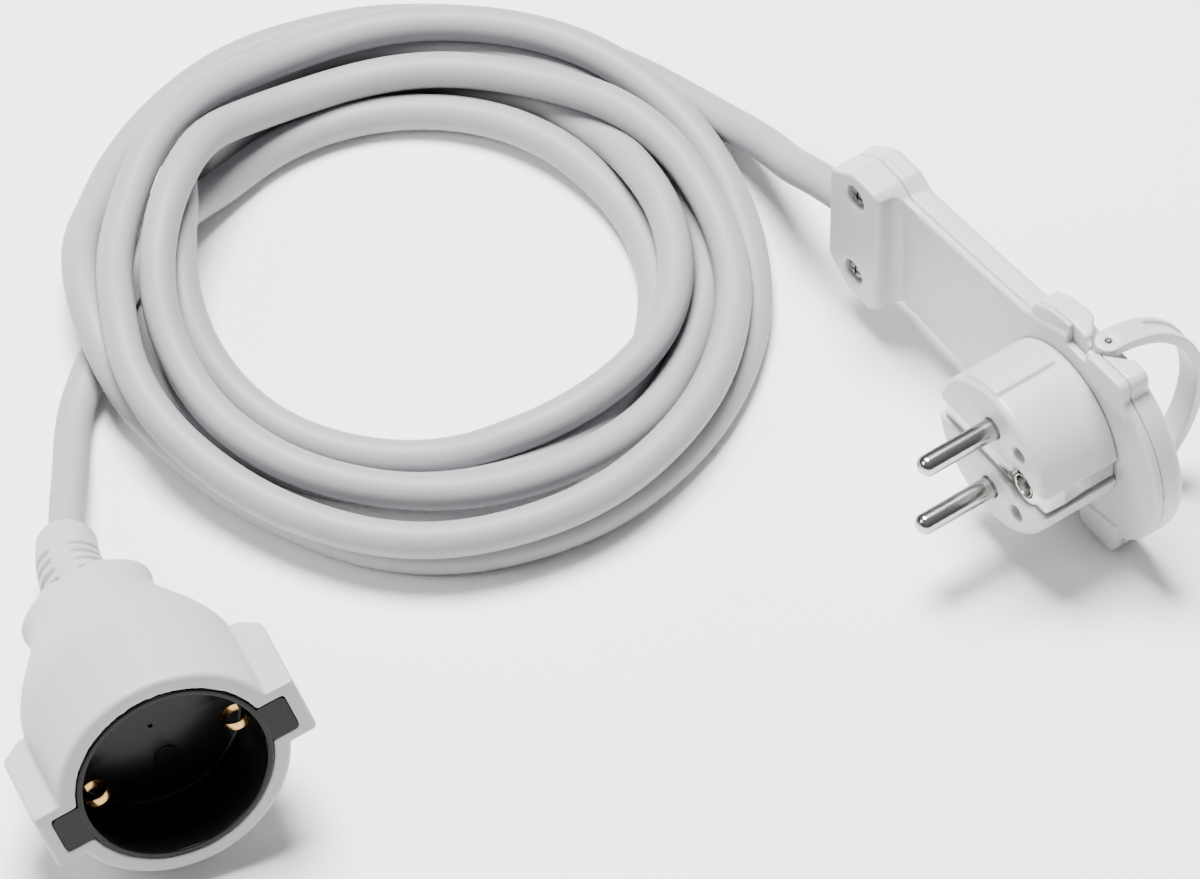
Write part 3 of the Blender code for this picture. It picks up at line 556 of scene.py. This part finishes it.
def socket_cup():
    """Glossy cup with its lip and ear tabs, shuttered contact holes, centre dimple and pin marks."""
    profile = filleted([(0, -WELL_DEPTH, 0), (WELL_RADIUS, -WELL_DEPTH, 0.9), (WELL_RADIUS, 0.1, 0.35),
                        (CUP_RADIUS, 0.1, 0.35), (CUP_RADIUS, -CUP_LENGTH, 0.5), (0, -CUP_LENGTH, 0)],
                       closed=False)
    cup = lathe("socket_cup", profile, 160)
    for way in (1, -1):
        tab = filleted([(way * 20.6, -TAB_HALF, 0), (way * TAB_REACH, -TAB_HALF, 1.3),
                        (way * TAB_REACH, TAB_HALF, 1.3), (way * 20.6, TAB_HALF, 0)])
        combined(cup, "UNION", prism("tab", tab, "XY", -TAB_DEPTH, -0.1))
        low, high = sorted((way * 17.9, way * 22.4))
        combined(cup, "DIFFERENCE", box("channel", (low, -2.8, -32), (high, 2.8, -7.5)))
        bore = [(0, -18.3), (3.4, -18.3), (3.4, -32), (0, -32)]
        combined(cup, "DIFFERENCE", lathe("contact_bore", bore, 48, (0, way * CONTACT_AT)),
                 line_ring("shutter_line", (0, way * CONTACT_AT), 2.55, 2.85, 17.25, 64))
        combined(cup, "DIFFERENCE", line_ring("pin_mark", (way * 9.0, 10.5), 0.7, 0.85, 17.15, 32))
    combined(cup, "DIFFERENCE", bar("dimple", (0, 0, -17.5), (0, 0, -16.5), 0.55, 24))
    for way in (1, -1):
        outline = [(way * 6.5 - 2.4, -17.3), (way * 6.5 + 2.4, -17.3), (way * 6.5 + 0.3 * way, -14.0)]
        combined(cup, "UNION", prism("wedge", outline, "XZ", -20.5, -19.6))
    bevelled(cup, 0.1, 50, 2)
    finished(cup, COUPLER, glossy_black, "socket_black", "socket_insert", angle=30)


def earth_clips():
    """Brass bow behind the cup with a curled spring clip at each side of the well."""
    strip, behind = 19.4, -32.6
    curl_out = arc(CLIP_AT, CLIP_RADIUS, 20, 300, 40)
    curl_in = arc(CLIP_AT, CLIP_RADIUS - CLIP_THICK, 300, 16, 40)
    right = [(strip, behind), (strip, -6.6), *curl_out, *curl_in, (strip - CLIP_THICK, -7.8),
             (strip - CLIP_THICK, behind + CLIP_THICK)]
    outline = right + [(-x, z) for x, z in reversed(right)]
    bow = prism("earth_clips", outline, "XZ", -CLIP_HALF, CLIP_HALF)
    finished(bevelled(bow, 0.12, 50, 2), COUPLER, bright_brass, "contact_brass", "socket_earth_bow")


coupler_shell()
relief_sleeve()
socket_cup()
earth_clips()


# ---- plug: x from the arm to the free end, y from the face to the back, z up, mm -------------
PLATE_FRONT, SEAM, PLATE_REAR = 19.5, 21.3, 27.0
CORD_DEPTH = 19.0
SCREW_AT, SCREW_HEIGHT = -65.8, 11.9
DISC_CENTRE, DISC_RADIUS = 5.5, 25.8
PIN_RADIUS, PIN_LENGTH, PIN_SPACING = 2.4, 19.0, 19.0
SOCKET_AT = 10.0
BAIL_AT, BAIL_DEPTH = 7.0, 24.5
BAIL_HALF, BAIL_REACH, BAIL_THICK = 27.5, 24.5, 2.5
HEAD_RADIUS, SLOT_HALF, BAND_HALF = 18.5, 3, 2.4
RECESS_RADIUS, SCREW_WAY_RADIUS, BOSS_RADIUS = 3.05, 1.8, 3.6


def plate_outline(inset=0.0):
    """Clamp end, arm and disc, seen from the front; inset moves the whole edge inwards."""
    upper = [(-75 + inset, 0, 0), (-75 + inset, 12.9 - inset / 2, 3.2), (-67.0, 18.5 - inset, 3.5),
             (-59.6, 18.5 - inset, 2.6), (-55.8, 15.9 - inset, 3.5), (-33.0, 17.7 - inset, 30),
             (-15.5, 19.4 - inset, 3)]
    arm = filleted(upper, closed=False)[1:]
    disc = arc((DISC_CENTRE, 0), DISC_RADIUS - inset, 121, 0, 36)[:-1]
    return mirrored([*arm, *disc])


def loft(name, rings):
    """A closed body through rings with the same number of points."""
    bm = bmesh.new()
    rows = [[bm.verts.new(p) for p in ring] for ring in rings]
    for low, high in zip(rows, rows[1:]):
        for k in range(len(low)):
            bm.faces.new((low[k - 1], low[k], high[k], high[k - 1]))
    bm.faces.new(rows[0])
    bm.faces.new(rows[-1])
    return from_bmesh(name, bm)


def plate(name, layers):
    """The plug's outline stacked through (depth, inset) layers."""
    return loft(name, [[(x, depth, z) for x, z in plate_outline(inset)] for depth, inset in layers])


def rim_pad(way, front, back):
    corners = [(7.2, way * 20.0, 0), (7.2, way * 26.6, 1.6), (18.9, way * 27.0, 2.4), (19.2, way * 17.6, 0)]
    return prism("rim_pad", filleted(corners), "XZ", front, back)


def shoulder(way, front, back):
    """The hump on the rim between the arm and the bail's eye."""
    corners = [(-14.0, way * 18.0, 0), (-13.0, way * 23.4, 2.5), (-7.5, way * 26.4, 3),
               (-1.8, way * 27.5, 1.5), (3.6, way * 27.0, 1.0), (3.6, way * 20.0, 0)]
    return prism("shoulder", filleted(corners), "XZ", front, back)


def cord_way():
    return bar("cord_way", (-77, CORD_DEPTH, 0), (-60.5, CORD_DEPTH, 0), CORD / 2 + 0.15, 64)


def plug_front():
    """Flat front with its raised clamp block, screw recesses and the pads on the rim."""
    seam = SEAM - 0.04
    layers = [(PLATE_FRONT, 0.9), (PLATE_FRONT + 0.3, 0.25), (PLATE_FRONT + 0.9, 0), (seam, 0)]
    shell = plate("plug_front", layers)
    side = filleted([(-75.0, seam, 0), (-75.0, 13.8, 1.6), (-57.9, 13.8, 1.4), (-57.4, PLATE_FRONT, 2.6),
                     (-52.0, PLATE_FRONT + 0.1, 0), (-52.0, seam, 0)])
    block = prism("clamp_block", side, "XY", -18.5, 18.5)
    ends = filleted([(-75.0, 12.9, 3.2), (-67.0, 18.5, 3.5), (-50.0, 18.5, 0), (-50.0, -18.5, 0),
                     (-67.0, -18.5, 3.5), (-75.0, -12.9, 3.2)])
    combined(block, "INTERSECT", prism("clamp_ends", ends, "XZ", 10, 22))
    waist = plate("waist", [(12.0, 0), (21.0, 0)])
    combined(block, "INTERSECT", waist)
    combined(shell, "UNION", block)
    for way in (1, -1):
        combined(shell, "UNION", shoulder(way, PLATE_FRONT + 0.7, seam), rim_pad(way, 18.7, seam))
        low, high = sorted((way * 22.4, way * 30))
        combined(shell, "DIFFERENCE", box("notch", (-0.8, 18, low), (5.6, 22, high)))
    combined(shell, "DIFFERENCE", bar("carrier_window", (0, 15, 0), (0, 25, 0), 12.0, 64), cord_way(),
             prism("core_way", [(-61.0, 15.8), (-59.2, 15.8), (-57.2, 20.2), (-55.0, 20.2), (-55.0, 24),
                                (-61.0, 24)], "XY", -4.4, 4.4))
    for z in (SCREW_HEIGHT, -SCREW_HEIGHT):
        combined(shell, "DIFFERENCE",
                 bar("recess", (SCREW_AT, 10, z), (SCREW_AT, 16.8, z), RECESS_RADIUS, 48),
                 bar("screw_way", (SCREW_AT, 16, z), (SCREW_AT, 23, z), SCREW_WAY_RADIUS, 32))
    softened(shell, 0.4, 4)
    finished(shell, PLUG, hard_white, "plug_white", "plug_front_shell", angle=60)


def plug_rear():
    """Hollow back half: rounded rear edge, shoulders, rim pads and the bail's pivot pockets."""
    seam = SEAM + 0.04
    cover = plate("plug_rear", [(seam, 0), (25.2, 0), (26.1, 0.25), (26.7, 0.8), (PLATE_REAR, 1.8)])
    lean, far = 48, 9.0
    seat = arc((BAIL_AT, BAIL_DEPTH), 3.4, 180 + lean, 360 - lean, 24)
    spread = (far * sin(radians(lean)), far * cos(radians(lean)))
    pocket = seat + [(seat[-1][0] + spread[0], seat[-1][1] + spread[1]),
                     (seat[0][0] - spread[0], seat[0][1] + spread[1])]
    for way in (1, -1):
        combined(cover, "UNION", shoulder(way, seam, PLATE_REAR - 0.6), rim_pad(way, seam, PLATE_REAR - 1.0))
    inner = mirrored([(-73, 11.5), (-66.6, 16.3), (-60.4, 16.3), (-55.8, 13.7), (-33.0, 15.5), (-14.0, 17.2)]
                     + arc((DISC_CENTRE, 0), 20.5, 122, 6, 14))
    combined(cover, "DIFFERENCE", prism("hollow", inner, "XZ", seam - 1, PLATE_REAR - 1.9))
    for way in (1, -1):
        z = way * SCREW_HEIGHT
        combined(cover, "UNION", bar("boss", (SCREW_AT, seam, z), (SCREW_AT, 26, z), BOSS_RADIUS, 32))
        hole = bar("screw_hole", (SCREW_AT, seam - 1, z), (SCREW_AT, 25.4, z), SCREW_WAY_RADIUS, 32)
        combined(cover, "DIFFERENCE", hole)
        low, high = sorted((way * 23.6, way * 32.0))
        start, end = (BAIL_AT, BAIL_DEPTH, way * 21.8), (BAIL_AT, BAIL_DEPTH, way * 26)
        combined(cover, "DIFFERENCE", prism("pocket", pocket, "XY", low, high),
                 bar("pivot_hole", start, end, 1.35, 32))
    combined(cover, "DIFFERENCE", cord_way())
    softened(cover, 0.4, 4)
    finished(cover, PLUG, hard_white, "plug_white", "plug_rear_cover", angle=60)


def pin_head():
    """Round head with guide ribs, slots for the earth band, and its holes."""
    back = PLATE_FRONT - 0.1
    profile = filleted([(0, 0, 0), (HEAD_RADIUS, 0, 1.6), (HEAD_RADIUS, back, 0.3), (11.7, back, 0),
                        (11.7, 21.7, 0), (0, 21.7, 0)], closed=False)
    head = lathe("pin_head", profile, 160, axis="Y")
    head.data.transform(Matrix.Scale(-1, 4, (0, 1, 0)))
    for way in (1, -1):
        raised = [(x, way * z) for x, z in arc((0, 0), 19.35, 125, 91.2, 12)]
        combined(head, "UNION", prism("rib", raised + [(-0.4, way * 12), (-11.1, way * 12)], "XZ", 1.2, 16.5))
    combined(head, "DIFFERENCE", box("face_slot", (-20, -1, -SLOT_HALF), (20, 2.2, SLOT_HALF)))
    for way in (1, -1):
        low, high = sorted((way * 15.8, way * 20))
        z = way * PIN_SPACING / 2
        combined(head, "DIFFERENCE", box("side_slot", (low, -1, -SLOT_HALF), (high, back + 1, SLOT_HALF)),
                 bar("pin_bore", (0, -1, z), (0, 24, z), PIN_RADIUS + 0.2, 48),
                 bar("blind_hole", (9.1, -1, way * 9.4), (9.1, 5, way * 9.4), 2.0, 48))
    combined(head, "DIFFERENCE", bar("seat", (SOCKET_AT, -1, 0), (SOCKET_AT, 2.2, 0), 4.9, 64),
             bar("socket_bore", (SOCKET_AT, 1, 0), (SOCKET_AT, 15.4, 0), 3.2, 48),
             bar("tail_way", (SOCKET_AT, 15, 0), (SOCKET_AT, 24, 0), 1.6, 24))
    softened(head, 0.36, 3)
    finished(head, PLUG, hard_white, "plug_white", "plug_pin_carrier", angle=60)


def turned_metal(name, profile, at, mat, slot, node):
    """A turned piece along the plug's depth; heights in its profile run towards the front."""
    piece = lathe(name, profile, 72, axis="Y")
    piece.data.transform(Matrix.Translation(at))
    finished(piece, PLUG, mat, slot, node, angle=35)


def pins_and_earth():
    """Bullet-tipped pins, the sprung earth band, and the female earth contact."""
    shaft = PIN_LENGTH - 2.2
    tip = [(PIN_RADIUS * sin(radians(a)), shaft + 2.2 * cos(radians(a))) for a in range(0, 91, 6)]
    pin = [(0, PIN_LENGTH), *tip[1:], (PIN_RADIUS, 0.5), (PIN_RADIUS - 0.15, 0.3), (PIN_RADIUS - 0.15, -1),
           (PIN_RADIUS, -1.2), (PIN_RADIUS, -24.1), (2.2, -24.3), (0, -24.3)]
    turned_metal("pin_upper", pin, (0, 0, PIN_SPACING / 2), nickel, "pin_nickel", "pin_live")
    turned_metal("pin_lower", pin, (0, 0, -PIN_SPACING / 2), nickel, "pin_nickel", "pin_neutral")
    tube = [(0, -13.8), (2.35, -13.8), (2.35, -1.3), (2.5, -0.9), (2.75, -0.8), (2.9, -1.1), (2.9, -15.0),
            (1.3, -15.2), (1.3, -24.3), (0, -24.3)]
    turned_metal("earth_tube", tube, (SOCKET_AT, 0, 0), nickel, "pin_nickel", "plug_earth_socket")
    reach, front, thick = 17.3, 1.0, 0.8
    outer = filleted([(0, front, 0), (reach, front, 1.0), (reach + 0.25, 6.0, 8), (reach, 12.0, 8),
                      (reach, 18.8, 0)], closed=False)
    inner = filleted([(reach - thick, 18.8, 0), (reach - thick, 12.0, 8), (reach - thick + 0.25, 6.0, 8),
                      (reach - thick, front + thick, 0.3), (0, front + thick, 0)], closed=False)
    right = outer[1:] + inner[:-1]
    band = prism("earth_spring", right + [(-x, y) for x, y in reversed(right)], "XY", -BAND_HALF, BAND_HALF)
    combined(band, "UNION", bar("eye", (SOCKET_AT, front, 0), (SOCKET_AT, front + thick, 0), 4.5, 64))
    combined(band, "DIFFERENCE", bar("eye_hole", (SOCKET_AT, -1, 0), (SOCKET_AT, 4, 0), 3.15, 64))
    finished(bevelled(band, 0.12, 45, 2), PLUG, nickel, "pin_nickel", "plug_earth_band")


def cross_screws():
    """Pan-head screws with a tapering cross recess."""
    profile = filleted([(0, -14.6, 0), (1.9, -14.7, 0.8), (2.75, -15.5, 0.3), (2.75, -16.5, 0.1),
                        (1.45, -16.5, 0), (1.45, -24.8, 0), (0, -25.3, 0)], closed=False)
    for z, node in ((SCREW_HEIGHT, "clamp_screw_upper"), (-SCREW_HEIGHT, "clamp_screw_lower")):
        screw = lathe(node + "_head", profile, 64, axis="Y")
        screw.data.transform(Matrix.Translation((SCREW_AT, 0, z)))
        for across, up in ((1.75, 0.36), (0.36, 1.75)):
            wide = [(SCREW_AT - across, 14.0, z - up), (SCREW_AT + across, 14.0, z - up),
                    (SCREW_AT + across, 14.0, z + up), (SCREW_AT - across, 14.0, z + up)]
            deep = [(SCREW_AT + (x - SCREW_AT) * 0.5, 16.0, z + (h - z) * 0.5) for x, _, h in wide]
            combined(screw, "DIFFERENCE", loft("cross", [wide, deep]))
        finished(bevelled(screw, 0.08, 40, 2), PLUG, zinc, "screw_steel", node)


def pull_strap():
    """Half-oval strap with a channel along its outer face and an eye at each end."""
    outer = arc((0, 0), BAIL_REACH, -80, 80, 72, BAIL_HALF)
    inner = arc((0, 0), BAIL_REACH - BAIL_THICK, 80, -80, 72, BAIL_HALF - BAIL_THICK)
    high, low = BAIL_HALF, BAIL_HALF - BAIL_THICK
    end = [(2.0, high), (0, high), (0, low), (2.0, low)]
    strap = prism("pull_strap", outer + end + inner + [(x, -z) for x, z in reversed(end)], "YZ", -3, 3)
    floor = arc((0, 0), BAIL_REACH - 0.7, 66, -66, 72, BAIL_HALF - 0.7)
    past = arc((0, 0), BAIL_REACH + 1, -66, 66, 72, BAIL_HALF + 1)
    combined(strap, "DIFFERENCE", prism("channel", floor + past, "YZ", -1.5, 1.5))
    for way in (1, -1):
        combined(strap, "UNION", bar("eye", (0, 0, way * low), (0, 0, way * high), 3.0, 48))
        combined(strap, "DIFFERENCE",
                 bar("eye_hole", (0, 0, way * (low - 3)), (0, 0, way * (high - 0.9)), 1.35, 32),
                 bar("eye_mouth", (0, 0, way * low), (0, 0, way * (high + 3)), 0.8, 32))
    softened(strap, 0.3, 3)
    at_hinge = PLUG @ Matrix.Translation((BAIL_AT, BAIL_DEPTH, 0))
    finished(strap, at_hinge, hard_white, "plug_white", "pull_bail", body=BAIL, angle=60)
    for way, node in ((1, "bail_pivot_upper"), (-1, "bail_pivot_lower")):
        profile = [(0, way * 22.2), (1.1, way * 22.2), (1.1, way * 26.4), (0.6, way * 26.45),
                   (0.6, way * 27.2), (0.4, way * 27.4), (0, way * 27.4)]
        finished(lathe(node + "_pin", profile, 40, (BAIL_AT, BAIL_DEPTH)), PLUG, zinc, "screw_steel", node)


plug_front()
plug_rear()
pin_head()
pins_and_earth()
cross_screws()
pull_strap()

# Nodes that keep the CAD's own solids, with the material each one gets.
HIDDEN = (("socket_contact_live", bright_brass), ("socket_contact_neutral", bright_brass),
          ("cord_clamp_saddle", zinc),
          ("coupler_core_live", core_brown), ("plug_core_live", core_brown),
          ("coupler_core_neutral", core_blue), ("plug_core_neutral", core_blue),
          ("coupler_core_earth", core_green), ("plug_core_earth", core_green))
for node, mat in HIDDEN:
    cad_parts[node].data.materials[0] = mat


# ---- floor and light -----------------------------------------------------------------------
def studio():
    """A plain pale floor under large soft lights."""
    bm = bmesh.new()
    bmesh.ops.create_grid(bm, x_segments=1, y_segments=1, size=6)
    mesh = bpy.data.meshes.new("floor")
    bm.to_mesh(mesh)
    bm.free()
    floor = bpy.data.objects.new("floor", mesh)
    bpy.context.scene.collection.objects.link(floor)
    pale = bpy.data.materials.new("floor_pale")
    pale.use_nodes = True
    pale.node_tree.nodes["Principled BSDF"].inputs["Base Color"].default_value = (0.96, 0.96, 0.96, 1)
    pale.node_tree.nodes["Principled BSDF"].inputs["Roughness"].default_value = 0.9
    mesh.materials.append(pale)
    world = bpy.data.worlds.new("world")
    world.use_nodes = True
    nodes, links = world.node_tree.nodes, world.node_tree.links
    place = nodes.new("ShaderNodeTexCoord")
    height = nodes.new("ShaderNodeSeparateXYZ")
    links.new(place.outputs["Generated"], height.inputs["Vector"])
    rise = nodes.new("ShaderNodeMapRange")
    rise.inputs["From Min"].default_value = 0.0
    rise.inputs["From Max"].default_value = 0.9
    rise.inputs["To Min"].default_value = 0.03
    rise.inputs["To Max"].default_value = 0.3
    links.new(height.outputs["Z"], rise.inputs["Value"])
    nodes["Background"].inputs["Color"].default_value = (1, 1, 1, 1)
    links.new(rise.outputs["Result"], nodes["Background"].inputs["Strength"])
    bpy.context.scene.world = world
    for name, at, size, power in (("top", (-0.2, 0.5, 1.7), 0.9, 130), ("side", (-1.2, -0.3, 1.0), 0.6, 10)):
        data = bpy.data.lights.new(name, "AREA")
        data.shape = "DISK"
        data.size = size
        data.energy = power
        light = bpy.data.objects.new(name, data)
        light.location = at
        light.rotation_euler = (-Vector(at)).to_track_quat("-Z", "Y").to_euler()
        bpy.context.scene.collection.objects.link(light)


studio()
